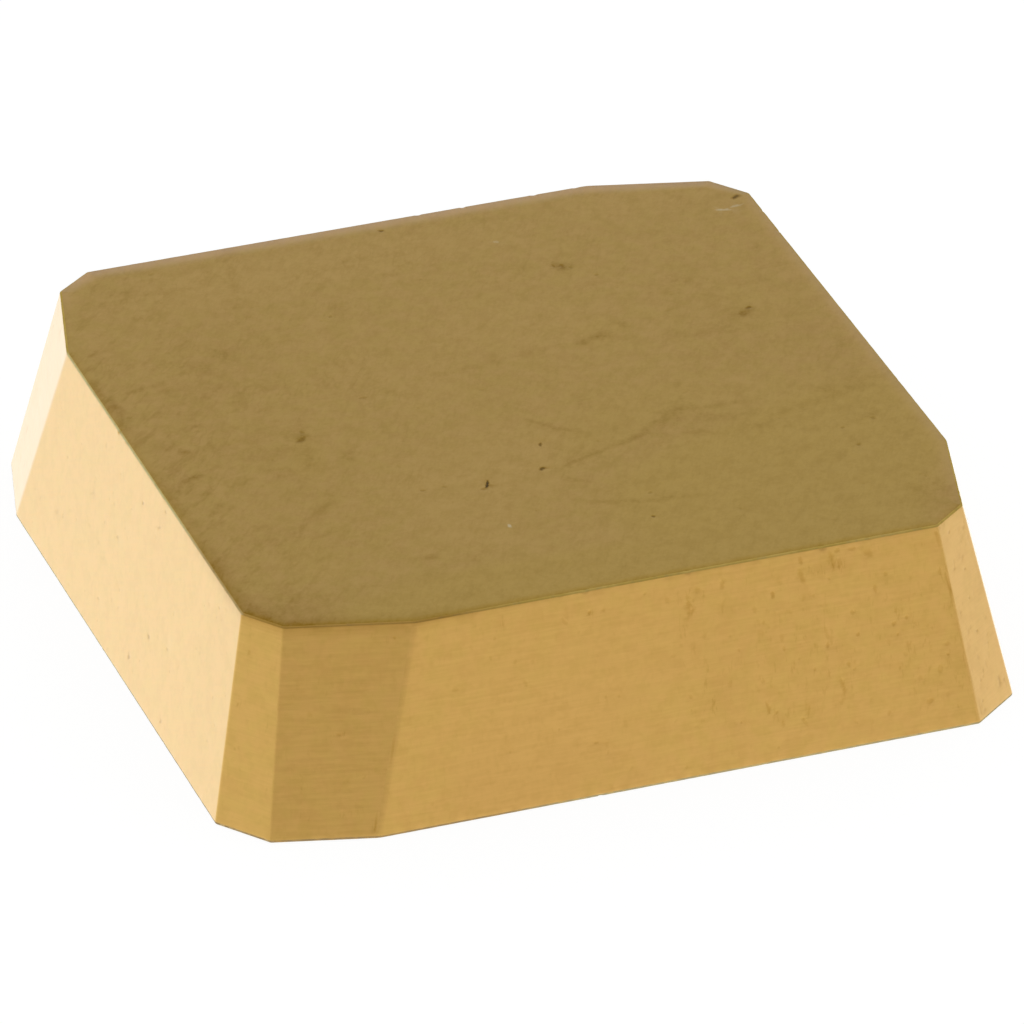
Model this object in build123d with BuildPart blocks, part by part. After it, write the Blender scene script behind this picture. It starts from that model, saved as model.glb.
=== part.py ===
from build123d import *
from math import cos, radians, sin
import os

# Square indexable milling insert: one pressed, sintered and ground piece of coated cemented carbide,
# with no hole. It is clamped in its pocket by wedge or finger.
#
# Frame: millimetres, +Z up. The larger face, which carries the cutting edges, lies on Z = 0 with its
# centre at the origin, and its sides run along X and Y. The smaller face, which sits on the pocket's
# floor, is uppermost. Every flank leans inwards from the cutting edge: that lean is its relief angle.
#
# Seen from above and going round clockwise, each of the four sides ends in a short wiper land, then a
# corner facet, and then the next side begins. All four corners are the same, a quarter turn apart.

# Driving dimensions
side_length = 12.7  # between opposite sides, on the cutting face
thickness = 3.175
side_relief = 11.0  # degrees, of the four long flanks

wiper_length = 1.58  # on the cutting face
wiper_turn = 15.0  # degrees that the wiper land turns from its side
wiper_relief = 14.2  # degrees

corner_length = 0.963  # on the cutting face
corner_relief = 14.2  # degrees

arris_radius = 0.05  # the upright edges between two flanks
cutting_edge_hone = 0.04  # radius brushed on the edges of the larger face
seat_edge_hone = 0.03  # radius on the edges of the smaller face

# What follows from them
corner_count = 4
quarter_turn = 360.0 / corner_count
corner_turn = (wiper_turn + quarter_turn) / 2  # the facet makes the same angle with both neighbours
half_side = side_length / 2

# Where the wiper land and the corner facet start and end, for the corner at +X +Y
wiper_start = Vector(
    half_side - wiper_length * cos(radians(wiper_turn)) - corner_length * cos(radians(corner_turn)),
    half_side,
)
corner_end = Vector(
    half_side,
    half_side - wiper_length * sin(radians(wiper_turn)) - corner_length * sin(radians(corner_turn)),
)


def flank_plane(edge_point, turn, relief, corner):
    """The plane of one flank through edge_point of the cutting face, its normal outwards.
    turn is measured clockwise from the side on +Y, and corner counts quarter turns clockwise."""
    heading = radians(turn)
    lean = radians(relief)
    outwards = Vector(sin(heading) * cos(lean), cos(heading) * cos(lean), sin(lean))
    clockwise = -quarter_turn * corner
    return Plane(
        origin=edge_point.rotate(Axis.Z, clockwise),
        z_dir=outwards.rotate(Axis.Z, clockwise),
    )


def edges_round(face):
    """The edges that bound one flat face."""
    return face.outer_wire().edges()


with BuildPart() as insert:
    # The square block, leaning inwards on all four sides
    with BuildSketch(Plane.XY):
        Rectangle(side_length, side_length)
    extrude(amount=thickness, taper=side_relief)

    # Each corner is ground twice: the wiper land, then the corner facet
    for corner in range(corner_count):
        split(bisect_by=flank_plane(wiper_start, wiper_turn, wiper_relief, corner), keep=Keep.BOTTOM)
        split(bisect_by=flank_plane(corner_end, corner_turn, corner_relief, corner), keep=Keep.BOTTOM)

    # The brushed edges: first the arrises, so that both rims are smooth all the way round
    rims = edges_round(faces().sort_by(Axis.Z)[0]) + edges_round(faces().sort_by(Axis.Z)[-1])
    fillet(edges().filter_by(lambda edge: edge not in rims), radius=arris_radius)
    fillet(edges_round(faces().sort_by(Axis.Z)[0]), radius=cutting_edge_hone)
    fillet(edges_round(faces().sort_by(Axis.Z)[-1]), radius=seat_edge_hone)

insert.part.label = "milling_insert"

os.makedirs("parts", exist_ok=True)
export_step(insert.part, "parts/milling_insert.step")
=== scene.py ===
from math import cos, hypot, pi, radians, sin, tan

import bpy
import numpy as np
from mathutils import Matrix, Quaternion, Vector, noise
from mathutils.geometry import delaunay_2d_cdt


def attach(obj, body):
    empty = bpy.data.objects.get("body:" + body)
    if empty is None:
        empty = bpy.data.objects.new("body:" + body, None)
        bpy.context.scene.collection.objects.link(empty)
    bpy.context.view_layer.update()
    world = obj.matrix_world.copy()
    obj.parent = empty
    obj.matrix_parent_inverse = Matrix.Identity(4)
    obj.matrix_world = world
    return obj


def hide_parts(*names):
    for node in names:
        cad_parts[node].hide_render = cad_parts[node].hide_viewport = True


# The looks of a square milling insert: titanium-nitride-coated cemented carbide, ground on its flanks.
# Lengths are in millimetres and angles in degrees; MM turns a length into Blender's metres. The frame
# is the CAD's: the larger, cutting face lies on Z = 0 and the smaller, seating face is uppermost.

MM = 0.001
NODE = "milling_insert"
PIECE = "coated_insert"

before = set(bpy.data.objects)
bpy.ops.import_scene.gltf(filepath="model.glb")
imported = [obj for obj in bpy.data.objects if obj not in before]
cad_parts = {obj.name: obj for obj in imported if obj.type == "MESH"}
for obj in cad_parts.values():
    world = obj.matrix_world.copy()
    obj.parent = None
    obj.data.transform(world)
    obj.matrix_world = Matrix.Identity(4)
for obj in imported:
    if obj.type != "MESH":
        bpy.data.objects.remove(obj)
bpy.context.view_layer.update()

# The insert's shape, as the CAD has it
SIDE_LENGTH = 12.7
THICKNESS = 3.175
SIDE_RELIEF = 11.0
WIPER_LENGTH = 1.58
WIPER_TURN = 15.0
WIPER_RELIEF = 14.2
CORNER_LENGTH = 0.963
CORNER_TURN = (WIPER_TURN + 90.0) / 2
CORNER_RELIEF = 14.2
CUTTING_HONE = 0.04
SEAT_HONE = 0.03

# What the CAD leaves plain: the arrises' own softness, a slight roll-off round the seating face where
# it was lapped, and edges that wander
ARRIS_RADIUS = 0.08
SOFT_ARRIS_RADIUS = 0.42  # where a side runs into its wiper land
LEAST_ARRIS_RADIUS = 0.008
ROLL_OFF_WIDTH = 0.24
ROLL_OFF_ANGLE = 2.0
SEAT_DEPTH = 0.03  # the seating face and its roll-off lie within this of the top
WANDER = 0.003
WANDER_LENGTH = 0.16
WANDER_DEPTH = 0.035  # how far from an edge it still shows
PIT_DEPTH = 0.004

# The walls that the photograph's viewpoint faces, of the twelve counted clockwise from +Y. In each
# three, the first is a side, the second its wiper land and the third a corner facet.
FRONT, FRONT_WIPER, FRONT_CORNER, LEFT, RIGHT_CORNER = 6, 7, 8, 9, 5

# The direction of a wall's grinding lines, from the right as seen from outside; 0 where not given
GRINDING_ANGLES = {LEFT: 28.0, 0: 4.0, 3: -12.0}

# Nicks in the edges: wall, how far along it to the right as seen from outside, height, radius, depth
NICKS = (
    (FRONT, -0.84, THICKNESS, 0.055, 0.022),
    (FRONT, -1.22, THICKNESS, 0.040, 0.014),
    (FRONT, 0.75, THICKNESS, 0.060, 0.012),
    (FRONT, 2.85, THICKNESS, 0.070, 0.014),
    (FRONT, -0.80, 0.0, 0.060, 0.022),
    (LEFT, -0.95, THICKNESS, 0.060, 0.022),
    (LEFT, -3.88, THICKNESS, 0.060, 0.022),
)

# The small nicks that wear has strewn along the sides' edges
WORN_NICKS = 22
WORN_SEED = 12
WORN_REACH = (-4.2, 4.4)
WORN_UPPER_SHARE = 0.7
WORN_RADII = (0.03, 0.07)
WORN_DEPTHS = (0.004, 0.010)

# The mesh's spacing
COLUMN_PITCH = 0.031
HONE_STEPS = 6
ARRIS_STEPS = 6
FLANK_PITCH = 0.3
FACE_PITCH = 0.25
SUPPORT_GAPS = (0.010, 0.025, 0.05, 0.09)  # from the end of a hone, on both its faces
ROLL_OFF_GAPS = (*SUPPORT_GAPS, 0.15, 0.24)  # the same, on the seating face
SUPPORT_COLUMNS = 2  # at each end of a wall
FAR_FROM_EDGES = 1.0
MARK_RINGS = (0.5, 0.8, 1.1)  # of points round a mark, as shares of its size
MARK_MARGIN = 0.012  # from those points to a face's border

# Parts of the surface, which are also the mesh's material slots
FLANK, EDGE, SEATING, CUTTING = range(4)


def heading(turn):
    """The horizontal direction at turn degrees clockwise from +Y."""
    return np.array((sin(radians(turn)), cos(radians(turn))))


def make_walls():
    """The twelve walls, clockwise from the side on +Y: turn, distance from the axis, relief."""
    half = SIDE_LENGTH / 2
    wiper = WIPER_LENGTH * heading(WIPER_TURN)[::-1]
    corner = CORNER_LENGTH * heading(CORNER_TURN)[::-1]
    wiper_start = np.array((half - wiper[0] - corner[0], half))
    corner_end = np.array((half, half - wiper[1] - corner[1]))
    one_quarter = (
        (0.0, half, SIDE_RELIEF),
        (WIPER_TURN, float(wiper_start @ heading(WIPER_TURN)), WIPER_RELIEF),
        (CORNER_TURN, float(corner_end @ heading(CORNER_TURN)), CORNER_RELIEF),
    )
    return [(turn + 90.0 * quarter, distance, relief)
            for quarter in range(4) for turn, distance, relief in one_quarter]


WALLS = make_walls()
WALL_COUNT = len(WALLS)


def rightwards(wall):
    """The horizontal direction along a wall that is on the right as seen from outside."""
    return heading(WALLS[wall][0] - 90.0)


# ---- Marks ----
# Each is x, y, length, width, angle, strength. On the seating face x and y are the frame's; on a wall
# x runs to the right as seen from outside and y is the height. Those on the faces that the
# photograph's viewpoint shows stand where they are on the object, and the rest are strewn.

def placed(*marks):
    """Marks given as x, y, length and width in hundredths of a millimetre, strength in percent, and
    the angle if it isn't 0."""
    return [(x / 100, y / 100, length / 100, width / 100, *(angle or (0,)), strength / 100)
            for x, y, length, width, strength, *angle in marks]


def line_of_marks(width, end_width, strength, *places):
    """The marks that make one curved scratch through places in hundredths of a millimetre."""
    marks = []
    spots = [(x / 100, y / 100) for x, y in places]
    widths = np.linspace(width / 100, end_width / 100, len(places) - 1).tolist()
    for (x0, y0), (x1, y1), own_width in zip(spots, spots[1:], widths):
        length = hypot(x1 - x0, y1 - y0)
        angle = float(np.degrees(np.arctan2(y1 - y0, x1 - x0)))
        marks.append(((x0 + x1) / 2, (y0 + y1) / 2, 2.2 * length, own_width, angle, strength))
    return marks


def strewn_marks(seed, count, left, right, low, high, angle, strength=1.0):
    """Many faint small flecks, mostly along an angle."""
    chance = np.random.default_rng(seed)
    marks = []
    for _ in range(count):
        size = 0.045 + 0.05 * chance.random() ** 2
        x, y = chance.uniform(left, right), chance.uniform(low, high)
        length = size * chance.uniform(1.0, 2.2)
        own_angle = angle + chance.normal(0, 25)
        marks.append((x, y, length, size, own_angle, strength * (0.12 + 0.30 * chance.random() ** 2)))
    return marks


def faded(marks, share):
    """The same marks, only a share as strong."""
    return [(*mark[:5], share * mark[5]) for mark in marks]


SEAT_DARK = placed(
    (-113, -238, 34, 8, 100, 62), (-122, -250, 14, 10, 50), (1, -155, 15, 8, 75, 70),
    (-21, -223, 17, 12, 80, 60), (-164, 315, 12, 7, 40, 70), (84, -409, 10, 8, 70, 30),
    (104, -343, 9, 9, 35), (-2, 542, 8, 14, 70, 90), (-209, -224, 9, 9, 45), (208, 349, 13, 6, 50, 100),
    (220, 345, 16, 6, 60, 100), (231, 336, 12, 6, 40, 100), (427, 113, 24, 18, 35, 20),
    (442, 128, 11, 10, 70), (549, 460, 22, 16, 80, 30), (-327, -22, 22, 14, 60, 50), (-320, -2, 10, 12, 35),
    (260, 300, 10, 7, 35, 60), (445, -315, 10, 9, 45), (441, -260, 9, 8, 40), (495, -248, 10, 12, 40, 60),
    (-200, 65, 16, 9, 35), (-175, -225, 10, 8, 30),
) + strewn_marks(3, 120, -5.7, 5.7, -5.7, 5.7, 60, 0.5)
SEAT_SMUDGES = placed(
    (218, 343, 46, 34, 90, 80), (428, 116, 60, 40, 100, 25), (-327, -16, 46, 34, 100, 60),
    (200, 122, 55, 30, 80, 20), (165, 112, 40, 22, 80, 30), (240, 145, 35, 30, 50, 40),
    (-360, 260, 90, 50, 60, 70), (-468, 208, 24, 20, 90, 20), (-503, 2, 30, 26, 90),
    (-460, 7, 30, 13, 80, 100), (-510, -126, 24, 14, 60, 10), (-260, -410, 40, 25, 50, 20),
    (-503, -165, 30, 20, 70, 20), (-520, -184, 30, 15, 60, 30), (-383, -295, 25, 20, 50, 40),
    (-541, -380, 40, 30, 60, 60), (-557, -405, 30, 20, 50, 60), (-557, 185, 25, 20, 70, 40),
    (-552, 151, 30, 16, 70, 30), (-551, 124, 25, 20, 60, 30), (-560, 239, 20, 30, 80),
    (-373, 140, 30, 20, 50, 60), (-386, 118, 25, 16, 50, 60), (-423, 147, 60, 20, 50, 80),
    (-373, -103, 40, 30, 40), (-281, -94, 50, 40, 45), (-522, 24, 50, 30, 50, 10),
    (-468, -244, 40, 30, 40, 30), (-461, -297, 30, 40, 40), (-415, -45, 30, 20, 40, 60),
    (-283, 231, 40, 30, 35, 60), (-542, -460, 40, 40, 50), (380, 70, 260, 360, 16),
    (-360, -40, 180, 340, 22), (-490, -470, 180, 180, 35), (500, -490, 130, 160, 30),
    (-430, 160, 240, 200, 15), (360, 220, 200, 160, 15), (520, 300, 40, 25, 40, 40), (460, 500, 25, 35, 40),
    (-400, 160, 80, 16, 50, 50), (-530, -500, 190, 70, 50, -42), (-560, -360, 220, 40, 30, 90),
    (-560, -120, 260, 30, 70, 90), (-560, 160, 240, 30, 60, 90), (-420, 360, 100, 12, 50, 62),
    (310, -90, 50, 24, 40, 30), (490, -240, 60, 22, 60, 30), (530, -30, 50, 20, 50, 60),
    (100, -60, 60, 20, 40, 30), (-390, 230, 70, 30, 50, 80), (-460, 260, 50, 16, 50, 50),
    (-520, 330, 60, 20, 50, 20), (-270, -80, 50, 20, 50, 60), (-430, 490, 60, 20, 40, 10),
    (-330, 140, 50, 14, 40, 70),
)
SEAT_SCRATCHES = [
    (12, 32, 0.8, (17, -224), (46, -214), (90, -200), (132, -187), (170, -167), (203, -144), (237, -120)),
    (26, 16, 0.4, (230, -124), (268, -130), (305, -136), (341, -138)),
    (16, 16, 0.3, (237, -120), (250, -80), (258, -44)),
    (34, 34, 0.35, (160, -178), (195, -189), (255, -210), (328, -213)),
    (36, 36, 0.35, (200, -150), (250, -160), (310, -170)),
    (12, 12, 0.65, (14, -87), (39, -117), (74, -140)),
    (18, 18, 0.5, (-2, -259), (12, -270), (30, -280)),
    (28, 36, 0.4, (360, -192), (390, -184), (447, -172), (490, -150), (535, -122)),
    (36, 36, 0.6, (450, -140), (480, -145), (515, -160)),
    (18, 18, 0.55, (9, -336), (47, -350), (96, -365), (150, -368)),
    (22, 22, 0.22, (-67, 92), (0, 100), (60, 108), (130, 112)),
    (34, 34, 0.5, (-325, -170), (-350, -210), (-385, -243)),
    (26, 26, 0.35, (-385, -243), (-416, -273), (-435, -310)),
    (14, 14, 0.9, (-538, -85), (-520, -76), (-500, -72)),
    (12, 12, 0.7, (-538, -85), (-545, -100), (-549, -115)),
    (14, 14, 0.8, (-478, 58), (-468, 66), (-456, 72)),
    (13, 22, 0.6, (-530, 195), (-500, 200), (-465, 208)),
    (22, 22, 0.3, (-250, 540), (-262, 490), (-280, 420), (-295, 360)),
    (22, 22, 0.25, (-490, 460), (-420, 475), (-340, 470)),
]
SEAT_PALE = placed(
    (-124, -363, 13, 7, 70, 70), (515, 428, 28, 8, 60, -20), (538, 433, 22, 8, 50, 10),
    (152, 450, 12, 10, 30),
)
SEAT_YELLOW = placed(
    (330, -370, 700, 520, 100, 8), (-80, -540, 900, 220, 90), (150, -120, 300, 160, 50, 30),
    (360, -130, 400, 120, 35), (460, 140, 200, 160, 30), (200, 130, 120, 70, 40, 20),
    (-340, -80, 70, 130, 60), (-430, -360, 100, 150, 40, 30),
)
SEAT_PINK = placed(
    (-130, -240, 340, 460, 80, -15), (-160, 470, 700, 200, 90), (380, 490, 300, 130, 60),
    (80, 200, 340, 240, 50, 20), (-120, 100, 240, 240, 40), (-60, -460, 360, 160, 50),
)
SEAT_RUDDY = placed(
    (-530, -500, 240, 150, 80, -42), (-560, -290, 90, 300, 30), (-550, -30, 110, 260, 30),
    (-570, 220, 70, 260, 20), (-460, 50, 140, 300, 20), (-420, -200, 160, 300, 15, -20),
    (510, 30, 120, 500, 25), (-350, 260, 360, 260, 20, 60), (550, -520, 140, 140, 40),
)
FRONT_DARK = placed(
    (-80, 282, 7, 10, 65), (-82, 84, 9, 6, 36), (-292, 204, 12, 12, 25), (-235, 242, 6, 10, 29),
    (204, 258, 9, 14, 70), (73, 262, 10, 40, 50), (127, 288, 9, 22, 45), (125, 252, 5, 26, 35),
    (88, 286, 10, 16, 35), (41, 279, 10, 16, 25), (250, 302, 10, 16, 50), (250, 278, 12, 30, 50, 20),
    (299, 294, 12, 34, 50, 15), (308, 307, 10, 10, 50), (331, 306, 14, 10, 45), (356, 295, 14, 26, 40, 30),
    (381, 258, 9, 9, 35), (364, 238, 8, 18, 35), (188, 84, 8, 14, 50), (200, 78, 6, 8, 43),
    (240, 60, 7, 8, 43), (250, 72, 6, 30, 40, -10), (316, 131, 8, 12, 40), (305, 100, 9, 34, 50, 14),
    (285, 166, 9, 10, 50), (333, 174, 8, 8, 50), (390, 180, 9, 10, 50), (182, 202, 14, 20, 22),
    (284, 185, 7, 34, 30, 10), (326, 209, 9, 10, 40), (186, 90, 7, 22, 40, 15), (441, 51, 16, 10, 45, 20),
    (472, 134, 10, 12, 35), (459, 95, 10, 12, 35), (406, 130, 10, 10, 25), (427, 90, 10, 10, 25),
    (410, 186, 7, 8, 50), (395, 162, 5, 7, 36), (468, 252, 7, 9, 50), (482, 218, 8, 8, 50),
    (460, 100, 10, 12, 29, -30), (440, 52, 14, 10, 36, 30), (362, 240, 6, 8, 36), (330, 210, 5, 8, 29),
    (130, 135, 10, 16, 22), (463, 305, 7, 10, 50), (470, 260, 6, 10, 40), (466, 245, 9, 12, 45),
    (477, 236, 5, 9, 50), (480, 214, 7, 12, 80), (490, 150, 5, 10, 50), (494, 126, 5, 12, 55),
    (472, 118, 6, 7, 40), (499, 93, 6, 16, 55), (505, 65, 5, 10, 40), (375, 45, 8, 10, 29, -20),
) + strewn_marks(4, 45, -3.4, 1.0, 0.1, 3.0, 90, 0.7) + strewn_marks(5, 80, 1.2, 5.1, 0.1, 3.05, 90, 0.8)
LEFT_DARK = placed(
    (42, 270, 10, 7, 50), (130, 302, 9, 6, 40), (118, 270, 16, 5, 35, 30), (-27, 177, 14, 7, 30, 30),
    (155, 110, 14, 8, 50, 20), (97, 45, 16, 8, 50, 25), (256, 25, 12, 7, 40, 30), (230, 130, 10, 7, 30),
    (385, 282, 8, 6, 30), (-55, 60, 14, 6, 30, 20), (-150, 185, 30, 6, 20, 35), (-270, 90, 24, 10, 20, 30),
) + strewn_marks(6, 90, -3.8, 5.2, 0.1, 3.05, 30, 0.5)
RIGHT_CORNER_DARK = placed(
    (46, 295, 8, 7, 35), (40, 240, 6, 7, 30), (66, 228, 7, 6, 35), (62, 184, 5, 6, 30), (64, 131, 9, 5, 40),
    (94, 37, 8, 22, 45), (42, 30, 6, 6, 35), (31, 12, 5, 7, 40), (28, 177, 5, 9, 40), (85, 102, 5, 5, 25),
    (30, 105, 4, 8, 30), (55, 62, 7, 5, 20, 20),
) + strewn_marks(8, 44, 0.25, 1.15, 0.1, 3.05, 90, 0.7)
WIPER_DARK = placed(
    (-250, 16, 5, 12, 60), (-248, 34, 4, 16, 35), (-222, 130, 5, 6, 30), (-216, 295, 6, 6, 35),
    (-300, 157, 10, 5, 25),
) + strewn_marks(9, 18, -3.9, -2.2, 0.1, 3.05, 90, 0.4)
CORNER_DARK = placed(
    (35, 185, 5, 8, 30), (42, 265, 6, 12, 30), (40, 120, 5, 8, 25),
) + strewn_marks(10, 14, 0.25, 1.1, 0.1, 3.05, 90, 0.4)
FRONT_SMUDGES = placed(
    (75, 245, 55, 150, 65), (105, 125, 80, 200, 60), (250, 160, 200, 320, 45), (410, 160, 180, 320, 50),
    (495, 150, 40, 320, 95, 8), (-60, 155, 28, 26, 50), (-240, 150, 28, 20, 45), (-220, 290, 90, 30, 50),
    (290, 125, 16, 80, 70, 14), (300, 285, 130, 40, 90), (310, 110, 16, 70, 60, 14), (75, 130, 12, 50, 70),
    (210, 70, 50, 40, 60), (-80, 280, 30, 30, 40), (180, 290, 80, 30, 70), (90, 280, 90, 40, 80),
    (390, 290, 120, 40, 60), (485, 90, 40, 100, 90, 8),
)
LEFT_SMUDGES = placed(
    (-300, 250, 50, 35, 40, 30), (150, 110, 50, 20, 30, 25), (90, 50, 50, 20, 30, 25),
    (120, 280, 50, 30, 30, 25), (250, 30, 40, 20, 30, 30), (40, 270, 30, 20, 30, 25),
)
WIPER_SMUDGES = placed(
    (-300, 155, 60, 12, 80, 12), (-245, 290, 50, 25, 60), (-330, 120, 30, 50, 40, 20),
    (-300, 35, 50, 18, 50, 30), (-360, 80, 50, 160, 40, 12), (-320, 230, 40, 90, 40),
    (-250, 25, 30, 40, 70), (-290, 80, 12, 70, 40, 10),
)
CORNER_SMUDGES = placed(
    (38, 290, 30, 30, 70), (90, 170, 12, 50, 40), (35, 185, 20, 30, 60),
)
WIPER_RUDDY = placed(
    (-310, 160, 600, 600, 15),
)
FRONT_PINK = placed(
    (-170, 90, 360, 260, 90), (-40, 200, 340, 260, 45), (-220, 220, 160, 160, 30), (-20, 40, 160, 100, 50),
    (360, 50, 150, 80, 25),
)
FRONT_RUDDY = placed(
    (135, 160, 110, 360, 32), (490, 90, 80, 220, 35, 8), (300, 290, 220, 60, 20), (-150, 10, 500, 240, 45),
    (250, 0, 600, 140, 20),
)
# Painted shade: the left flank grows darker towards its near end
LEFT_NEAR_END_SHADE = placed(
    (480, 160, 340, 700, 90), (280, 160, 500, 700, 40), (50, 160, 600, 700, 15),
)
RIGHT_CORNER_SMUDGES = placed(
    (30, 308, 30, 26, 100), (92, 42, 16, 50, 90), (40, 240, 30, 30, 50), (62, 130, 30, 25, 70),
    (34, 20, 20, 30, 90), (50, 190, 50, 20, 60, 10), (35, 100, 20, 60, 60), (75, 260, 20, 50, 50),
    (60, 70, 20, 30, 70), (30, 170, 16, 60, 70),
)
RIGHT_CORNER_PINK = placed(
    (70, 160, 200, 500, 50), (105, 90, 35, 260, 80, 4), (85, 240, 30, 140, 40),
)

# What each face has of every kind of mark
STEEPNESS = {"dark": 1.8, "smudge": 1.15, "pale": 1.8, "yellow": 3.5, "pink": 2.0, "ruddy": 1.6}
KINDS = tuple(STEEPNESS)
MESHED_KINDS = ("dark", "smudge", "pale")  # those small enough to need points of their own
MARK_ATTRIBUTES = ("marks", "tints")  # each holds three of those kinds, in their order
FRONT_FADING = 0.8
UNSEEN_WALL_SEED = 20
SEAT_MARKS = {
    "dark": SEAT_DARK,
    "smudge": SEAT_SMUDGES + [mark for scratch in SEAT_SCRATCHES for mark in line_of_marks(*scratch)],
    "pale": SEAT_PALE,
    "yellow": SEAT_YELLOW,
    "pink": SEAT_PINK,
    "ruddy": SEAT_RUDDY,
}
CUTTING_MARKS = {"dark": strewn_marks(7, 200, -6.0, 6.0, -6.0, 6.0, 10)}
WALL_MARKS = [{"dark": strewn_marks(UNSEEN_WALL_SEED + wall, 80, -5.0, 5.0, 0.1, 3.05, 90, 0.7)}
              for wall in range(WALL_COUNT)]
WALL_MARKS[FRONT] = {
    "dark": faded(FRONT_DARK, FRONT_FADING),
    "smudge": FRONT_SMUDGES,
    "pink": FRONT_PINK,
    "ruddy": FRONT_RUDDY,
}
WALL_MARKS[FRONT_WIPER] = {"dark": WIPER_DARK, "smudge": WIPER_SMUDGES, "ruddy": WIPER_RUDDY}
WALL_MARKS[FRONT_CORNER] = {"dark": CORNER_DARK, "smudge": CORNER_SMUDGES}
# On the left flank the yellow kind holds painted shade
WALL_MARKS[LEFT] = {"dark": LEFT_DARK, "smudge": LEFT_SMUDGES, "yellow": LEFT_NEAR_END_SHADE}
WALL_MARKS[RIGHT_CORNER] = {
    "dark": RIGHT_CORNER_DARK,
    "smudge": RIGHT_CORNER_SMUDGES,
    "pink": RIGHT_CORNER_PINK,
}


# ---- The insert's mesh: rings of points round the twelve walls, and two filled faces ----

def section(relief):
    """One wall's section, from the cutting face round to the seating face: rows of offset from the
    wall's foot, height, the part of the surface that starts there, and the distance from an edge."""
    lean = radians(relief)
    normal_angle = 90.0 + relief

    def flank(height):
        return -height * tan(lean), height

    def hone(radius, height, angle):
        middle = flank(height)[0] - radius / cos(lean)
        return middle + radius * sin(radians(angle)), height - radius * cos(radians(angle))

    def arc(radius, height, first, last):
        for step in range(HONE_STEPS + 1):
            yield *hone(radius, height, first + (last - first) * step / HONE_STEPS), EDGE, 0.0

    roll_end = 180.0 - ROLL_OFF_ANGLE
    roll_slope = tan(radians(ROLL_OFF_ANGLE))
    seat_height = THICKNESS - roll_slope * ROLL_OFF_WIDTH / 2 + SEAT_HONE * cos(radians(roll_end))
    start = hone(CUTTING_HONE, CUTTING_HONE, 0.0)[0]
    rows = [(start - gap, 0.0, CUTTING, gap) for gap in reversed(SUPPORT_GAPS)]
    rows += arc(CUTTING_HONE, CUTTING_HONE, 0.0, normal_angle)
    rows[-1] = (*rows[-1][:2], FLANK, 0.0)
    low = rows[-1][1]
    high = hone(SEAT_HONE, seat_height, normal_angle)[1]
    rows += [(*flank(low + gap), FLANK, gap) for gap in SUPPORT_GAPS]
    widest = SUPPORT_GAPS[-1]
    spans = round((high - low - 2 * widest) / FLANK_PITCH)
    inner = np.linspace(low + widest, high - widest, spans + 1)[1:-1]
    rows += [(*flank(height), FLANK, FAR_FROM_EDGES) for height in inner]
    rows += [(*flank(high - gap), FLANK, gap) for gap in reversed(SUPPORT_GAPS)]
    rows += arc(SEAT_HONE, seat_height, normal_angle, roll_end)
    rows[-1] = (*rows[-1][:2], SEATING, 0.0)
    rim = rows[-1][0]
    for gap in ROLL_OFF_GAPS:
        drop = roll_slope * (ROLL_OFF_WIDTH - gap) ** 2 / (2 * ROLL_OFF_WIDTH)
        rows.append((rim - gap, THICKNESS - max(0.0, drop), SEATING, gap))
    return rows


SECTIONS = [section(relief) for _, _, relief in WALLS]
ROW_COUNT = len(SECTIONS[0])
RIM_ROW = ROW_COUNT - 1 - len(ROLL_OFF_GAPS)  # where the seating face begins


def arris(row, wall):
    """One row's arc of points, between a wall and the next one clockwise."""
    after = (wall + 1) % WALL_COUNT
    reaches, heights, insets = [], [], []
    for number in (wall, after):
        _, distance, relief = WALLS[number]
        offset, height = SECTIONS[number][row][:2]
        reaches.append(distance + offset)
        heights.append(height)
        insets.append(-height * tan(radians(relief)) - offset)
    normals = np.array((heading(WALLS[wall][0]), heading(WALLS[after][0])))
    meet = np.linalg.solve(normals, reaches)
    turn = (WALLS[after][0] - WALLS[wall][0]) % 360.0
    full = SOFT_ARRIS_RADIUS if wall % 3 == 0 else ARRIS_RADIUS
    radius = max(LEAST_ARRIS_RADIUS, full - insets[0])
    middle = meet - heading(WALLS[wall][0] + turn / 2) * radius / cos(radians(turn / 2))
    shares = np.linspace(0.0, 1.0, ARRIS_STEPS + 1)
    return np.array([(*(middle + radius * heading(WALLS[wall][0] + turn * share)),
                      heights[0] + (heights[1] - heights[0]) * share) for share in shares])


def make_rings():
    """The rows' closed rings of points, row by row, and the wall that each column belongs to."""
    main = SIDE_LENGTH - WIPER_LENGTH - 2 * CORNER_LENGTH
    counts = [round(length / COLUMN_PITCH) for length in (main, WIPER_LENGTH, CORNER_LENGTH)]
    rings, walls = [], []
    for row in range(ROW_COUNT):
        arcs = [arris(row, wall) for wall in range(WALL_COUNT)]
        ring = []
        for wall in range(WALL_COUNT):
            start, end = arcs[wall - 1][-1], arcs[wall][0]
            shares = np.linspace(0.0, 1.0, counts[wall % 3] + 1)[1:, None]
            ring += [start + (end - start) * shares, arcs[wall][1:]]
            if row == 0:
                walls += [wall] * (len(shares) + ARRIS_STEPS)
        rings.append(np.concatenate(ring))
    return np.array(rings), np.array(walls)


def wander(rings, walls):
    """Lets the two rims wander in and out a little, as brushed edges do."""
    gaps = np.array([row[3] for row in SECTIONS[0]])
    fade = np.exp(-gaps / WANDER_DEPTH)
    outwards = np.array([heading(WALLS[wall][0]) for wall in walls])
    for upper in (False, True):
        near = [row for row in range(ROW_COUNT) if (rings[row, 0, 2] > THICKNESS / 2) == upper]
        for column in range(rings.shape[1]):
            place = Vector(rings[near[0], column]) / WANDER_LENGTH
            shift = WANDER * (noise.noise(place) + 0.5 * noise.noise(place * 2.7) - 0.4)
            rings[near, column, :2] += np.outer(fade[near] * min(0.0, shift), outwards[column])


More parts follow.
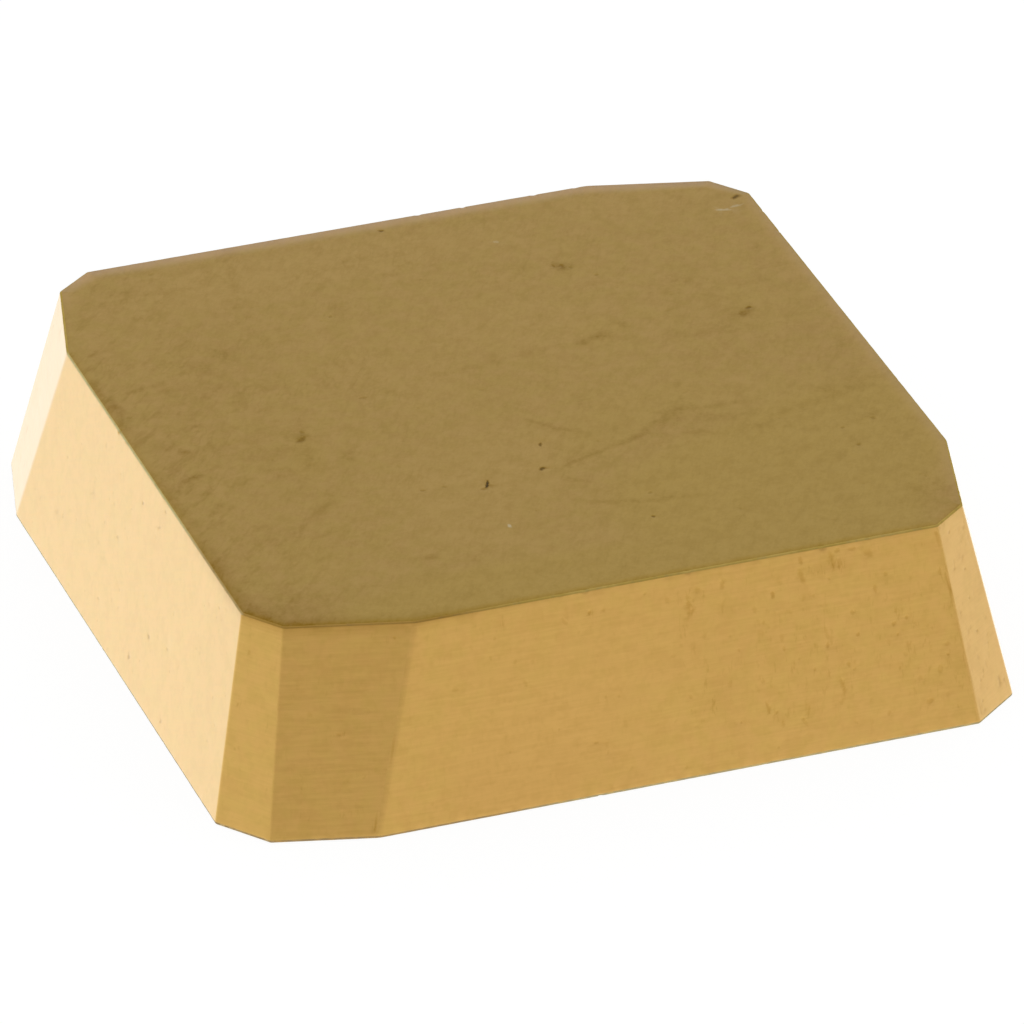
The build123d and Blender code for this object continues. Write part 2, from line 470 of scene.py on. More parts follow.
def on_wall(wall, across, height):
    """The point of a wall's plane that is so far to the right, seen from outside, and so high."""
    turn, distance, relief = WALLS[wall]
    foot = heading(turn) * (distance - height * tan(radians(relief))) + rightwards(wall) * across
    return (*foot, height)


def wall_normal(wall):
    turn, _, relief = WALLS[wall]
    return np.array((*(heading(turn) * cos(radians(relief))), sin(radians(relief))))


def nick(points, wall, across, height, radius, depth):
    """Presses a small dent into an edge, towards the insert's middle."""
    rise = 1.0 if height > 0.0 else -1.0
    outwards = wall_normal(wall) + (0.0, 0.0, rise)
    outwards /= np.linalg.norm(outwards)
    share = 1.0 - ((points - on_wall(wall, across, height)) ** 2).sum(1) / radius ** 2
    inside = share > 0
    points[inside] -= np.outer(depth * share[inside] ** 2, outwards)


def press_nicks(points):
    for placed in NICKS:
        nick(points, *placed)
    chance = np.random.default_rng(WORN_SEED)
    for _ in range(WORN_NICKS):
        wall = 3 * int(chance.integers(0, 4))
        across = chance.uniform(*WORN_REACH)
        height = THICKNESS if chance.random() < WORN_UPPER_SHARE else 0.0
        nick(points, wall, across, height, chance.uniform(*WORN_RADII), chance.uniform(*WORN_DEPTHS))


class Shell:
    """The mesh as it grows: its points, and each face's corners, part of the surface and wall."""

    def __init__(self, points):
        self.points = [tuple(point) for point in points]
        self.faces, self.parts, self.walls = [], [], []

    def add(self, corners, part, wall):
        self.faces.append(corners)
        self.parts.append(part)
        self.walls.append(wall)

    def fill(self, outline, flatten, lift, pitch, marks, part, wall):
        """Fills a convex outline of points, anticlockwise as seen from outside, with triangles. flatten
        turns a point into two coordinates, and lift turns them back; marks get points of their own."""
        border = np.array([flatten(self.points[number]) for number in outline])
        low, high = border.min(0), border.max(0)
        columns, rows = (np.arange(low[axis], high[axis], pitch) for axis in (0, 1))
        grid = np.array([(x, y) for x in columns for y in rows])
        inner = [within(border, grid, 0.5 * pitch)]
        if marks:
            inner.append(within(border, mark_points(marks), MARK_MARGIN))
        flat = [Vector(place) for place in np.concatenate([border, *inner])]
        loop = list(range(len(outline)))
        places, _, triangles, origins, _, _ = delaunay_2d_cdt(flat, [], [loop], 1, 1e-7)
        numbers = []
        for place, origin in zip(places, origins):
            if origin[0] < len(outline):
                numbers.append(outline[origin[0]])
            else:
                numbers.append(len(self.points))
                self.points.append(tuple(lift(*place)))
        for triangle in triangles:
            self.add([numbers[corner] for corner in triangle], part, wall)

    def used(self):
        """The points that faces use, and the faces' corners counted among those."""
        numbers, corners = np.unique(np.concatenate(self.faces), return_inverse=True)
        ends = np.cumsum([len(face) for face in self.faces])[:-1]
        return np.array(self.points)[numbers], [part.tolist() for part in np.split(corners, ends)]


def within(border, places, margin):
    """The places at least a margin inside a convex, anticlockwise border."""
    steps = np.roll(border, -1, 0) - border
    steps /= np.linalg.norm(steps, axis=1, keepdims=True)
    depth = steps[:, 0] * (places[:, 1:] - border[:, 1]) - steps[:, 1] * (places[:, :1] - border[:, 0])
    return places[depth.min(1) > margin]


def mark_points(marks):
    """Points at the middle of each mark and on rings round it, which hold its shape in the mesh."""
    places = []
    for x, y, length, width, angle, _ in marks:
        middle = complex(x, y)
        turn = complex(cos(radians(angle)), sin(radians(angle)))
        places.append(middle)
        count = 6 + round(6 * length)
        for share in MARK_RINGS:
            for step in range(count):
                phase = 2 * pi * (step + share) / count
                spot = complex(length / 2 * cos(phase), width / 2 * sin(phase))
                places.append(middle + share * spot * turn)
    return np.array([(place.real, place.imag) for place in places])


def meshed(marks):
    """The marks, of a face's kinds, that the mesh has points for."""
    return [mark for kind in MESHED_KINDS for mark in marks.get(kind, [])]


def mark_strength(across, up, marks, steepness):
    """How strong, from 0 to 1, the strongest mark is at each place. Each has its own ragged outline,
    and a steep one stays strong almost up to it."""
    strongest = np.zeros(len(across))
    for number, (x, y, length, width, angle, strength) in enumerate(marks):
        turn = radians(angle)
        u = ((across - x) * cos(turn) + (up - y) * sin(turn)) / (length / 2)
        v = ((up - y) * cos(turn) - (across - x) * sin(turn)) / (width / 2)
        phase = np.arctan2(v, u)
        ragged = 1.0 + 0.18 * np.sin(2 * phase + number) + 0.12 * np.sin(3 * phase + 1.7 * number)
        core = np.clip(steepness * (1.0 - np.hypot(u, v) / ragged), 0.0, 1.0)
        strongest = np.maximum(strongest, strength * core * core * (3.0 - 2.0 * core))
    return strongest


def wall_middles(column_walls):
    """For each wall, the first and last column between its supporting ones."""
    middles = []
    start = 0
    for wall in range(WALL_COUNT):
        whole = int((column_walls == wall).sum())
        middles.append((start - 1 + SUPPORT_COLUMNS, start + whole - ARRIS_STEPS - 1 - SUPPORT_COLUMNS))
        start += whole
    return middles


def add_walls(shell, columns, column_walls):
    """The rings' quads, and a filled middle in every wall, between the columns and rows that support
    its edges' shading."""
    flank_rows = [row for row in range(ROW_COUNT - 1) if SECTIONS[0][row][2] == FLANK]
    first, last = flank_rows[len(SUPPORT_GAPS)], flank_rows[-len(SUPPORT_GAPS)]
    middles = wall_middles(column_walls)
    for row in range(ROW_COUNT - 1):
        for column in range(columns):
            after = (column + 1) % columns
            wall = int(column_walls[after])
            left, right = middles[wall]
            if not (first <= row < last and left <= column < right):
                low, high = row * columns, (row + 1) * columns
                corners = [low + column, high + column, high + after, low + after]
                shell.add(corners, SECTIONS[0][row][2], wall)
    for wall, (left, right) in enumerate(middles):
        outline = [first * columns + column for column in range(right, left, -1)]
        outline += [row * columns + left for row in range(first, last)]
        outline += [last * columns + column for column in range(left, right)]
        outline += [row * columns + right for row in range(last, first, -1)]
        direction = rightwards(wall)
        shell.fill(outline, lambda point: (point[:2] @ direction, point[2]),
                   lambda across, height: on_wall(wall, across, height), FLANK_PITCH,
                   meshed(WALL_MARKS[wall]), FLANK, wall)


def make_insert():
    rings, column_walls = make_rings()
    wander(rings, column_walls)
    columns = rings.shape[1]
    shell = Shell(rings.reshape(-1, 3))
    add_walls(shell, columns, column_walls)
    uppermost = list(range((ROW_COUNT - 1) * columns, ROW_COUNT * columns))
    shell.fill(uppermost[::-1], lambda point: point[:2], lambda x, y: (x, y, THICKNESS), FACE_PITCH,
               meshed(SEAT_MARKS), SEATING, 0)
    shell.fill(list(range(columns)), lambda point: (-point[0], point[1]), lambda x, y: (-x, y, 0.0),
               FACE_PITCH, meshed(CUTTING_MARKS), CUTTING, 0)
    points, faces = shell.used()
    marks = find_marks(points)
    press_nicks(points)
    mesh = bpy.data.meshes.new(PIECE)
    mesh.from_pydata([Vector(point) * MM for point in points], [], faces)
    mesh.polygons.foreach_set("material_index", shell.parts)
    mesh.polygons.foreach_set("use_smooth", [True] * len(faces))
    add_ground(mesh, points, shell.walls)
    add_attribute(mesh, "edge_gap", "FLOAT", "POINT", edge_gaps(points))
    for number, name in enumerate(MARK_ATTRIBUTES):
        add_attribute(mesh, name, "FLOAT_VECTOR", "POINT", marks[:, 3 * number:3 * number + 3])
    piece = bpy.data.objects.new(PIECE, mesh)
    bpy.context.scene.collection.objects.link(piece)
    return piece


def add_attribute(mesh, name, kind, domain, values):
    data = mesh.attributes.new(name, kind, domain).data
    data.foreach_set("value" if kind == "FLOAT" else "vector", np.ravel(values).astype(np.float32))


def find_marks(points):
    """How strong each kind of mark is at each point, from the marks of the faces that it lies on. The
    dark ones are pressed in a little."""
    seat = points[:, 2] > THICKNESS - SEAT_DEPTH
    under = points[:, 2] == 0.0
    surfaces = [(seat, points[:, 0], points[:, 1], SEAT_MARKS, (0.0, 0.0, 1.0)),
                (under, -points[:, 0], points[:, 1], CUTTING_MARKS, (0.0, 0.0, -1.0))]
    for wall, (turn, distance, relief) in enumerate(WALLS):
        away = points[:, :2] @ heading(turn) - distance + points[:, 2] * tan(radians(relief))
        surfaces.append((np.abs(away) < 0.01, points[:, :2] @ rightwards(wall), points[:, 2],
                         WALL_MARKS[wall], wall_normal(wall)))
    marks = np.zeros((len(points), len(KINDS)), np.float32)
    moves = np.zeros_like(points)
    for chosen, across, up, own, normal in surfaces:
        for number, kind in enumerate(KINDS):
            found = mark_strength(across[chosen], up[chosen], own.get(kind, []), STEEPNESS[kind])
            marks[chosen, number] = np.maximum(marks[chosen, number], found)
            if kind == "dark":
                moves[chosen] -= np.outer(PIT_DEPTH * found, normal)
    points += moves
    return marks


def add_ground(mesh, points, face_walls):
    """Gives each face's corners their place along its wall's grinding lines and across them, and the
    wall's number."""
    wall_points = points[:, :2] @ np.array([rightwards(wall) for wall in range(WALL_COUNT)]).T
    ground = []
    for face, wall in zip(mesh.polygons, face_walls):
        turn = radians(GRINDING_ANGLES.get(wall, 0.0))
        for vertex in face.vertices:
            across, up = wall_points[vertex, wall], points[vertex][2]
            ground.append((across * cos(turn) + up * sin(turn), up * cos(turn) - across * sin(turn), wall))
    add_attribute(mesh, "ground", "FLOAT_VECTOR", "CORNER", ground)


def edge_gaps(points):
    """Each point's distance from the nearer rim: on the seating face inwards, and elsewhere in height."""
    reach = points[:, :2] @ np.array([heading(turn) for turn, _, _ in WALLS]).T
    rims = [distance + rows[RIM_ROW][0] for (_, distance, _), rows in zip(WALLS, SECTIONS)]
    inwards = (np.array(rims) - reach).min(1)
    high = points[:, 2] > THICKNESS - SEAT_DEPTH
    return np.where(high, np.maximum(inwards, 0.0), np.minimum(points[:, 2], THICKNESS - points[:, 2]))


# ---- Materials ----
# Sizes of noise and places inside them are in millimetres.

FLANK_GREENISH = (0.780, 0.461, 0.088)
FLANK_PINKISH = (0.800, 0.456, 0.095)
FLANK_PINK = (0.803, 0.454, 0.097)
# The seating face's colours are darker than the flanks' partly for its own lapped finish and partly as
# painted shade, for the dimmer light that the top face reflects
SEAT_PLAIN = (0.487, 0.299, 0.063)
SEAT_TINGED = (0.501, 0.298, 0.072)
SEAT_YELLOWER = (0.494, 0.305, 0.060)
SEAT_PINKER = (0.513, 0.309, 0.076)
# A paler colour for a painted sheen along the seating face's far rim
SEAT_RIM_SHEEN = (0.98, 0.53, 0.32)
# Grey of worn carbide, also used as painted shade along the insert's foot
GREY_OF_WEAR_AND_SHADE = (0.36, 0.29, 0.15)
PALE_SPECK = (0.75, 0.68, 0.50)
RIM_DARK = (0.56, 0.375, 0.085)
RIM_LIGHT = (0.63, 0.43, 0.115)
# A painted highlight: the paler colour of the edge on the -X side
RIM_LEFT_HIGHLIGHT = (0.74, 0.64, 0.34)
WHITE = (1.0, 1.0, 1.0)
DEEPENED = (0.62, 0.53, 0.0)  # what a dark streak or speck leaves of each of the coating's colours
RUDDY = (0.80, 0.68, 0.62)  # the same for a ruddy stain

COAT_ROUGHNESS = 0.33
COAT_IOR = 1.55
METAL_TINT = (*WHITE, 1.0)
EDGE_TINT = (0.50, 0.45, 0.38, 1.0)  # how much less than a clean metal an edge shines at a glance

# Where the insert's colour and wear change
LEFT_RIM = (-5.74, -5.70)  # x; the seating face's rim on the -X side is painted paler, a painted highlight beside the bright left flank
LEFT_MARGIN = (-5.9, -3.6)  # x; the seating face is darker and rougher there
FAR_SIDE = (-1.5, 1.5)  # x + y
FAR_RIM = (4.7, 5.5)  # y
ROUGH_PART = (-6.0, 3.0)  # x - y
LOW_CORNER = (-9.8, -7.0)  # x + y

# The roll-off that only the seating face's shading shows: its angle, and how wide it is
SHEEN_ANGLE = 14.0
FAR_SHEEN_WIDTH = 0.32
NEAR_SHEEN_WIDTH = 0.12

WALLS_APART = 23.0  # how far from each other the walls lie in the noise, so that no two look the same
FLANK_RELIEF, EDGE_RELIEF, CUTTING_RELIEF = 0.0005, 0.001, 0.001
BRUSHED_RELIEF, SCRATCHED_RELIEF, DARK_RELIEF = 0.0035, -0.0005, -0.002


class Graph:
    """A material's or a world's nodes. An input given as a socket is linked, and any other is set."""

    def __init__(self, owner):
        owner.use_nodes = True
        self.tree = owner.node_tree
        self.tree.nodes.clear()

    def add(self, kind, inputs=(), **settings):
        node = self.tree.nodes.new("ShaderNode" + kind)
        for name, value in settings.items():
            setattr(node, name, value)
        for name, value in dict(inputs).items():
            if isinstance(value, bpy.types.NodeSocket):
                self.tree.links.new(value, node.inputs[name])
            else:
                node.inputs[name].default_value = value
        return node

    def math(self, operation, *values):
        return self.add("Math", dict(enumerate(values)), operation=operation).outputs[0]

    def total(self, first, *others):
        for other in others:
            first = self.math("ADD", first, other)
        return first

    def product(self, first, *others):
        for other in others:
            first = self.math("MULTIPLY", first, other)
        return first

    def minus(self, first, second):
        return self.math("SUBTRACT", first, second)

    def spread(self, value, start, end, low=0.0, high=1.0):
        """value from start to end becomes low to high, smoothly, and stays there beyond."""
        inputs = {"Value": value, "From Min": start, "From Max": end, "To Min": low, "To Max": high}
        return self.add("MapRange", inputs, interpolation_type="SMOOTHSTEP").outputs[0]

    def falling(self, value, start, end, high=1.0):
        """value from start to end becomes high to 0, smoothly, and stays there beyond."""
        return self.spread(value, start, end, high, 0.0)

    def mix(self, share, first, second):
        return self.add("Mix", {0: share, 2: first, 3: second}).outputs[0]

    def tint(self, share, first, second):
        colours = [(*colour, 1.0) if isinstance(colour, tuple) else colour for colour in (first, second)]
        inputs = {0: share, 6: colours[0], 7: colours[1]}
        return self.add("Mix", inputs, data_type="RGBA").outputs[2]

    def shade(self, colour, level):
        """colour made level times as bright."""
        inputs = {0: 1.0, 6: colour, 7: level}
        return self.add("Mix", inputs, data_type="RGBA", blend_type="MULTIPLY").outputs[2]

    def deepen(self, colour, amount):
        """colour made darker and browner by an amount from 0 to 1."""
        return self.shade(colour, self.tint(amount, WHITE, DEEPENED))

    def redden(self, colour, amount):
        """colour made darker and redder by an amount from 0 to 1."""
        return self.shade(colour, self.tint(amount, WHITE, RUDDY))

    def moved(self, vector, place=(0, 0, 0), angle=0.0, size=(1, 1, 1)):
        """vector seen from a place, at an angle, in units of size."""
        inputs = {"Vector": vector, "Location": place, "Rotation": (0, 0, radians(angle)), "Scale": size}
        return self.add("Mapping", inputs, vector_type="TEXTURE").outputs[0]

    def noise(self, vector, size, detail=3.0, roughness=0.5):
        """Cloudy noise around 0.5 whose blotches are about size wide."""
        inputs = {"Vector": vector, "Scale": 1.0 / size, "Detail": detail, "Roughness": roughness}
        return self.add("TexNoise", inputs).outputs[0]

    def streaks(self, vector, length, width, detail, roughness, angle=0.0, place=(0, 0, 0)):
        """Noise drawn out along an angle, in blotches of a length and a width."""
        return self.noise(self.moved(vector, place, angle, (length, width, 1.0)), 1.0, detail, roughness)

    def attribute(self, name, output="Vector"):
        return self.add("Attribute", attribute_name=name).outputs[output]

    def scaled(self, vector, factors):
        return self.add("VectorMath", {0: vector, 1: factors}, operation="MULTIPLY").outputs[0]

    def parts(self, vector):
        return self.add("SeparateXYZ", {0: vector}).outputs

    def place(self, upright=1.0):
        """The place in the insert's frame, in millimetres; with upright at 0, without its height."""
        factors = (1 / MM, 1 / MM, upright / MM)
        return self.scaled(self.add("TexCoord").outputs["Object"], factors)

    def mark(self, kind):
        """How strong one kind of mark is."""
        attribute, part = divmod(KINDS.index(kind), 3)
        return self.parts(self.attribute(MARK_ATTRIBUTES[attribute]))[part]

    def upper_half(self):
        """1 in the insert's upper half and 0 in its lower half."""
        return self.math("GREATER_THAN", self.parts(self.place())["Z"], THICKNESS / 2)

    def near_low_corner(self):
        """1 round the -X-Y corner, where the seating face is ruddy and dark at its rim, and 0 elsewhere."""
        parts = self.parts(self.place())
        return self.falling(self.total(parts["X"], parts["Y"]), *LOW_CORNER)

    def seen_directly(self):
        """1 for a camera's rays, also through something clear, and 0 for the rest."""
        path = self.add("LightPath").outputs
        return self.math("MAXIMUM", path["Is Camera Ray"], path["Is Transmission Ray"])


def make_material(name, look, coat, tint):
    """A coated metal. look gives its colour, its roughness and how high its relief stands."""
    material = bpy.data.materials.new(name)
    graph = Graph(material)
    colour, roughness, height = look(graph)
    bump = graph.add("Bump", {"Height": height, "Distance": MM, "Strength": 1.0})
    shader = graph.add("BsdfPrincipled", {
        "Base Color": colour,
        "Metallic": 1.0,
        "Roughness": roughness,
        "Normal": bump.outputs[0],
        "Coat Weight": coat,
        "Coat Roughness": COAT_ROUGHNESS,
        "Coat IOR": COAT_IOR,
        "Specular Tint": tint,
    })
    graph.add("OutputMaterial", {"Surface": shader.outputs[0]})
    return material


def flank_look(graph):
    """Gold nitride over ground carbide: streaks along the grinding lines, specks and faint clouds, with
    painted shade along the foot and towards the left flank's near end.
    """
    ground = graph.scaled(graph.attribute("ground"), (1.0, 1.0, WALLS_APART))
    streaks = graph.streaks(ground, 0.8, 0.05, 2.0, 0.8)
    grain = graph.noise(ground, 0.30, 2.0, 0.9)
    upright = graph.streaks(ground, 0.09, 0.30, 2.0, 0.8)
    tinge = graph.noise(graph.moved(ground, (7.0, 3.0, 0.0)), 0.28, 1.0, 0.5)
    dark = graph.mark("dark")
    smudge = graph.mark("smudge")
    gap = graph.attribute("edge_gap", "Fac")
    upper = graph.upper_half()

    colour = graph.tint(graph.spread(tinge, 0.30, 0.70), FLANK_GREENISH, FLANK_PINKISH)
    colour = graph.tint(graph.mark("pink"), colour, FLANK_PINK)
    specks = graph.falling(upright, 0.28, 0.46, 0.5)
    # Darker towards the top rim, more so round the -X-Y corner
    top_rim_darkening = graph.total(graph.product(graph.near_low_corner(), graph.falling(gap, 0.0, 0.22, 0.35)),
                        graph.falling(gap, 0.0, 0.06, 0.08))
    amount = graph.total(
        graph.falling(streaks, 0.25, 0.75, 0.13),
        graph.falling(grain, 0.34, 0.60, 0.11),
        graph.product(specks, graph.math("MULTIPLY_ADD", smudge, 0.9, 0.12)),
        graph.product(smudge, 0.08),
        # On the left flank this is painted shade, darker towards its near end
        graph.product(graph.mark("yellow"), 0.12),
        dark,
        graph.product(upper, top_rim_darkening),
    )
    colour = graph.redden(graph.deepen(colour, amount), graph.product(graph.mark("ruddy"), 0.25))
    colour = graph.shade(colour, graph.spread(dark, 0.5, 1.1, 1.0, 0.4))
    # Painted shade: the flanks turn greyer along the foot, where the metal would reflect the floor's shadow
    painted_foot_shade = graph.product(graph.minus(1.0, upper), graph.falling(gap, 0.0, 0.08, 0.35))
    colour = graph.tint(painted_foot_shade, colour, GREY_OF_WEAR_AND_SHADE)
    roughness = graph.total(graph.spread(streaks, 0.2, 0.8, 0.30, 0.38), graph.product(dark, 0.2))
    return colour, roughness, graph.product(streaks, FLANK_RELIEF)


def edge_look(graph):
    """The brushed edges: the coating is thin there, and grey carbide shows through in places. The lower
    edge's grey is mostly painted shade, where it would reflect the floor's shadow, and partly wear.
    """
    place = graph.place()
    blotches = graph.noise(place, 0.12, 2.0, 0.6)
    shades = graph.noise(graph.moved(place, (3.0, 1.0, 0.0)), 1.0, 4.0, 0.8)
    left = graph.falling(graph.parts(place)["X"], *LEFT_RIM)
    rim = graph.tint(graph.spread(shades, 0.40, 0.60), RIM_DARK, RIM_LIGHT)
    # Painted highlight: the edge on the -X side is painted paler
    rim = graph.tint(left, rim, RIM_LEFT_HIGHLIGHT)
    # The lower edge is mostly grey as painted shade, the upper one only where worn
    lower_shade_and_wear = graph.spread(blotches, 0.3, 0.6, 0.6, 1.0)
    upper_wear = graph.spread(blotches, 0.5, 0.7, 0.0, 0.2)
    colour = graph.tint(graph.mix(graph.upper_half(), lower_shade_and_wear, upper_wear), rim, GREY_OF_WEAR_AND_SHADE)
    colour = graph.deepen(colour, graph.product(graph.mark("smudge"), 0.4))
    colour = graph.redden(colour, graph.product(graph.near_low_corner(), 1.5))
    roughness = graph.spread(blotches, 0.3, 0.7, 0.32, 0.46)
    return colour, roughness, graph.product(blotches, EDGE_RELIEF)


def seat_tones(graph, place):
    """The seating face's colour before it is darkened: olive, yellower and pinker in broken patches, and
    darker than the flanks' partly as painted shade.
    """
    tinge = graph.noise(graph.moved(place, (7.0, 3.0, 0.0)), 0.40, 2.0, 0.7)
    broken = graph.spread(tinge, 0.30, 0.70, 0.7, 1.1)
    colour = graph.tint(graph.spread(tinge, 0.35, 0.65), SEAT_PLAIN, SEAT_TINGED)
    colour = graph.tint(graph.product(graph.mark("pink"), broken), colour, SEAT_PINKER)
    return graph.tint(graph.product(graph.mark("yellow"), broken), colour, SEAT_YELLOWER)


def seat_clouds(graph, place):
    """How much the seating face's wisps, bold streaks and stains darken it."""
    grain = graph.noise(place, 0.32, 3.0, 0.9)
    wisps = graph.falling(grain, 0.30, 0.66)
    bold = graph.streaks(place, 0.55, 0.17, 2.0, 0.7, 45.0, (5.0, 3.0, 0.0))
    margin = graph.falling(graph.parts(place)["X"], *LEFT_MARGIN)
    streaky = graph.product(graph.falling(bold, 0.30, 0.50), graph.mix(margin, 0.08, 0.30))
    stained = graph.product(graph.mark("smudge"), graph.math("MULTIPLY_ADD", wisps, 0.36, 0.30))
    return graph.total(graph.product(wisps, 0.22), streaky, stained)


def seat_hairlines(graph, place):
    """Clusters of fine wavy scratches, most of them towards -X and +Y."""
    waves = graph.streaks(place, 0.60, 0.26, 2.0, 0.6, 60.0, (2.0, 9.0, 0.0))
    crests = graph.math("ABSOLUTE", graph.minus(waves, 0.5))
    clusters = graph.spread(graph.noise(graph.moved(place, (1.0, 4.0, 0.0)), 1.1, 1.0), 0.42, 0.62)
    parts = graph.parts(place)
    rough_part = graph.spread(graph.minus(parts["X"], parts["Y"]), *ROUGH_PART, 1.0, 0.35)
    return graph.product(graph.falling(crests, 0.0, 0.055), clusters, rough_part)


def seat_roll_off(graph, gap, far_rim):
    """How high the seating face stands over its shaded roll-off, which is widest at the far rim."""
    width = graph.mix(far_rim, NEAR_SHEEN_WIDTH, FAR_SHEEN_WIDTH)
    rolled = graph.math("MAXIMUM", graph.minus(width, gap), 0.0)
    rolled = graph.math("DIVIDE", graph.product(rolled, rolled), width)
    return graph.product(rolled, -tan(radians(SHEEN_ANGLE)) / 2)


def seating_look(graph):
    """The lapped seating face: duller, olive, clouded and stained, with its own scratches. It is darker
    than the flanks partly as painted shade, with painted shade along its near rims and a painted sheen
    along its far rim.
    """
    place = graph.place(upright=0.0)
    parts = graph.parts(place)
    far_side = graph.spread(graph.total(parts["X"], parts["Y"]), *FAR_SIDE)
    far_rim = graph.product(far_side, graph.spread(parts["Y"], *FAR_RIM, 0.25, 1.0))
    brushed = graph.streaks(place, 0.40, 0.09, 2.0, 0.8, 62.0)
    scratched = seat_hairlines(graph, place)
    dark = graph.mark("dark")
    gap = graph.attribute("edge_gap", "Fac")

    amount = graph.total(
        seat_clouds(graph, place),
        graph.falling(brushed, 0.25, 0.65, 0.21),
        dark,
        graph.product(scratched, 0.14),
        graph.product(graph.near_low_corner(), graph.falling(gap, 0.0, 0.30, 0.35)),
        # painted shade: a dark band along the rims on the near side
        graph.product(graph.minus(1.0, far_side), graph.falling(gap, 0.0, 0.07, 0.14)),
    )
    colour = graph.deepen(seat_tones(graph, place), amount)
    colour = graph.redden(colour, graph.product(graph.mark("ruddy"), 0.30))
    colour = graph.shade(colour, graph.spread(dark, 0.5, 1.1, 1.0, 0.2))
    # Painted sheen: the far rim is painted paler, as if it caught more light
    colour = graph.tint(graph.product(far_rim, graph.falling(gap, 0.0, 0.28, 0.26)), colour, SEAT_RIM_SHEEN)
    colour = graph.tint(graph.product(graph.mark("pale"), 0.6), colour, PALE_SPECK)
    roughness = graph.total(graph.spread(brushed, 0.2, 0.8, 0.36, 0.46), graph.product(dark, 0.2))
    height = graph.total(
        seat_roll_off(graph, gap, far_rim),
        graph.product(brushed, BRUSHED_RELIEF),
        graph.product(scratched, SCRATCHED_RELIEF),
        graph.product(dark, DARK_RELIEF),
    )
    return colour, roughness, height


def cutting_look(graph):
    """The cutting face underneath: ground flat, so its marks run in straight parallel lines."""
    place = graph.place(upright=0.0)
    lines = graph.streaks(place, 4.0, 0.05, 3.0, 0.6, 8.0)
    tinge = graph.noise(place, 0.6, 2.0, 0.6)
    grain = graph.noise(place, 0.11, 2.0, 0.6)
    colour = graph.tint(graph.spread(tinge, 0.30, 0.70), FLANK_GREENISH, FLANK_PINKISH)
    colour = graph.deepen(colour, graph.total(
        graph.falling(lines, 0.25, 0.75, 0.25),
        graph.falling(grain, 0.34, 0.60, 0.12),
        graph.mark("dark"),
    ))
    roughness = graph.spread(lines, 0.2, 0.8, 0.28, 0.38)
    return colour, roughness, graph.product(lines, CUTTING_RELIEF)


# ---- Studio ----

BACKGROUND_WHITE = 1.0
FLOOR_SIZE = 4000.0
FLOOR_DROP = 0.002  # below the insert's lower face, so that the two don't coincide
FLOOR_SEEN_GLOW = 0.92
FLOOR_SEEN_WHITE = (0.14, 0.14, 0.14, 1.0)

# The soft surroundings: how bright they are in front and behind, and how much brighter the white
# table makes them below the horizon
FRONT_LEVEL, BACK_LEVEL = 0.48, 0.81
FRONT_LIGHT, BACK_LIGHT = WHITE, (0.965, 1.035, 1.06)
TABLE_LEVEL = 0.79
TABLE_DEPTH = 0.6  # how far down a direction points where the table has its full level
PLAIN_LEVEL = 0.645  # for what isn't metal: the floor


def make_floor():
    """A white sheet that keeps the insert's shadow. The surroundings' light comes through it from
    below, and it isn't there for a camera underneath."""
    bpy.ops.mesh.primitive_plane_add(size=FLOOR_SIZE * MM, location=(0.0, 0.0, -FLOOR_DROP * MM))
    floor = bpy.context.object
    floor.name = "floor"
    material = bpy.data.materials.new("white_floor")
    graph = Graph(material)
    lit = graph.add("BsdfDiffuse", {"Color": FLOOR_SEEN_WHITE})
    glowing = graph.add("Emission", {"Strength": FLOOR_SEEN_GLOW})
    seen = graph.add("AddShader", {0: lit.outputs[0], 1: glowing.outputs[0]})
    from_above = graph.minus(1.0, graph.add("NewGeometry").outputs["Backfacing"])
    share = graph.product(graph.seen_directly(), from_above)
    clear = graph.add("BsdfTransparent")
    shown = graph.add("MixShader", {0: share, 1: clear.outputs[0], 2: seen.outputs[0]})
    graph.add("OutputMaterial", {"Surface": shown.outputs[0]})
    floor.data.materials.append(material)


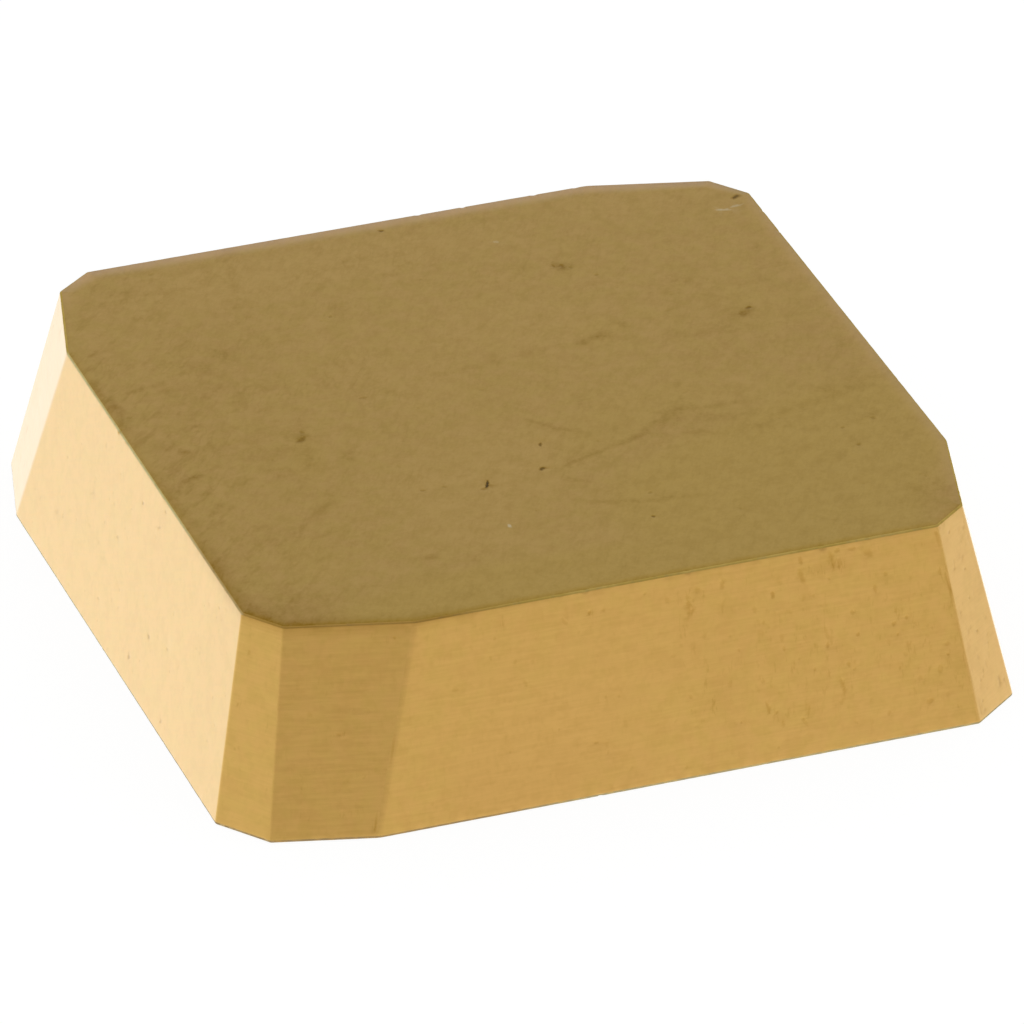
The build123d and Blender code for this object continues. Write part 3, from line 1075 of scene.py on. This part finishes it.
def make_world():
    """Soft white surroundings, brightest below, off the table. The metal shows them as they are, graded
    from front to back, and a camera or clear glass sees plain white."""
    world = bpy.data.worlds.new("studio")
    bpy.context.scene.world = world
    graph = Graph(world)
    parts = graph.parts(graph.add("TexCoord").outputs["Generated"])
    backwards = graph.math("MULTIPLY_ADD", parts["Y"], 0.5, 0.5)
    level = graph.mix(backwards, FRONT_LEVEL, BACK_LEVEL)
    table = graph.falling(parts["Z"], -TABLE_DEPTH, 0.0, TABLE_LEVEL)
    glossy = graph.add("LightPath").outputs["Is Glossy Ray"]
    light = graph.mix(glossy, PLAIN_LEVEL, graph.total(level, table))
    strength = graph.mix(graph.seen_directly(), light, BACKGROUND_WHITE)
    colour = graph.tint(backwards, FRONT_LIGHT, BACK_LIGHT)
    colour = graph.tint(graph.seen_directly(), colour, WHITE)
    background = graph.add("Background", {"Color": colour, "Strength": strength})
    graph.add("OutputWorld", {"Surface": background.outputs[0]})


# The photograph's viewpoint: the point that it looks at, the direction it looks from, and how far away
VIEW_TARGET = (0.056, -0.222, 1.275)
VIEW_AZIMUTH = -20.236
VIEW_ELEVATION = 30.331
VIEW_ROLL = 0.229
VIEW_DISTANCE = 165.60
FOCAL_LENGTH = 388.02
SENSOR_WIDTH = 36.0
NEAREST_SEEN, FARTHEST_SEEN = 10.0, 10000.0


def make_camera():
    data = bpy.data.cameras.new("camera")
    data.sensor_width = SENSOR_WIDTH
    data.lens = FOCAL_LENGTH
    data.clip_start = NEAREST_SEEN * MM
    data.clip_end = FARTHEST_SEEN * MM
    camera = bpy.data.objects.new("camera", data)
    azimuth, elevation = radians(VIEW_AZIMUTH), radians(VIEW_ELEVATION)
    back = Vector((sin(azimuth) * cos(elevation), -cos(azimuth) * cos(elevation), sin(elevation)))
    camera.location = (Vector(VIEW_TARGET) + back * VIEW_DISTANCE) * MM
    camera.rotation_mode = "QUATERNION"
    roll = Quaternion((0.0, 0.0, 1.0), radians(VIEW_ROLL))
    camera.rotation_quaternion = (-back).to_track_quat("-Z", "Y") @ roll
    bpy.context.scene.collection.objects.link(camera)
    bpy.context.scene.camera = camera


# In the order of the material slots: name, look, coat weight, specular tint
MATERIALS = (
    ("nitride_ground_flank", flank_look, 1.0, METAL_TINT),
    ("nitride_brushed_edge", edge_look, 0.0, EDGE_TINT),
    ("nitride_lapped_seat", seating_look, 0.15, METAL_TINT),
    ("nitride_ground_face", cutting_look, 1.0, METAL_TINT),
)

insert = make_insert()
for described in MATERIALS:
    insert.data.materials.append(make_material(*described))

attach(insert, "root")
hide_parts(NODE)

make_floor()
make_world()
make_camera()
bpy.context.scene.view_settings.view_transform = "Standard"
